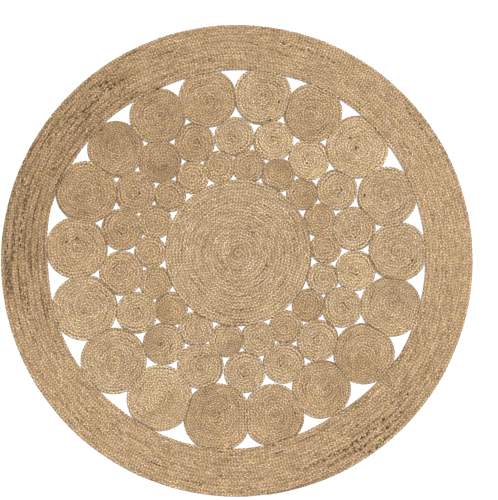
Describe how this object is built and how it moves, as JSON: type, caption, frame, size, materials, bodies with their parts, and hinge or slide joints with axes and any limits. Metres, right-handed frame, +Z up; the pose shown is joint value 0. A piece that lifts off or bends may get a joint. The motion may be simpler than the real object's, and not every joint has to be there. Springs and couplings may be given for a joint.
{
  "type": "round jute rug",
  "caption": "Flat round rug of plaited jute: a wide braided border round rings of wound coils sewn edge to edge with open gaps, and a large wound disc in the middle.",
  "frame": {"origin": "centre of the rug's outer edge, on its underside", "axes": "+Z up through the thickness, from the floor to the face; +Y towards the top of the picture and +X towards its right"},
  "size_m": [1.524, 1.524, 0.009],
  "materials": {
    "jute_border": "raw plaited jute, matt, tan with darker brown rows",
    "jute_pale": "raw plaited jute, matt, the palest straw tan",
    "jute_even": "raw plaited jute, matt, light tan",
    "jute_warm": "raw plaited jute, matt, golden tan",
    "jute_brown": "raw plaited jute, matt, the brownest tan"
  },
  "bodies": {
    "root": {"border": "jute_border", "centre_disc": "jute_even", "large_coil_01": "jute_warm", "large_coil_02": "jute_even", "large_coil_03": "jute_warm", "large_coil_04": "jute_pale", "large_coil_05": "jute_even", "large_coil_06": "jute_even", "large_coil_07": "jute_even", "large_coil_08": "jute_warm", "large_coil_09": "jute_warm", "large_coil_10": "jute_warm", "large_coil_11": "jute_warm", "large_coil_12": "jute_pale", "large_coil_13": "jute_even", "large_coil_14": "jute_even", "large_coil_15": "jute_warm", "large_coil_16": "jute_brown", "large_coil_17": "jute_brown", "large_coil_18": "jute_brown", "medium_coil_01": "jute_brown", "medium_coil_02": "jute_even", "medium_coil_03": "jute_pale", "medium_coil_04": "jute_pale", "medium_coil_05": "jute_even", "medium_coil_06": "jute_even", "medium_coil_07": "jute_pale", "medium_coil_08": "jute_even", "medium_coil_09": "jute_even", "medium_coil_10": "jute_even", "medium_coil_11": "jute_even", "medium_coil_12": "jute_even", "medium_coil_13": "jute_even", "medium_coil_14": "jute_even", "medium_coil_15": "jute_warm", "medium_coil_16": "jute_brown", "medium_coil_17": "jute_brown", "medium_coil_18": "jute_brown", "small_coil_01": "jute_warm", "small_coil_02": "jute_warm", "small_coil_03": "jute_warm", "small_coil_04": "jute_warm", "small_coil_05": "jute_warm", "small_coil_06": "jute_warm", "small_coil_07": "jute_warm", "small_coil_08": "jute_even", "small_coil_09": "jute_brown", "small_coil_10": "jute_warm", "small_coil_11": "jute_even", "small_coil_12": "jute_even", "small_coil_13": "jute_even", "small_coil_14": "jute_warm", "small_coil_15": "jute_warm", "small_coil_16": "jute_warm", "small_coil_17": "jute_warm", "small_coil_18": "jute_brown"}
  },
  "joints": []
}
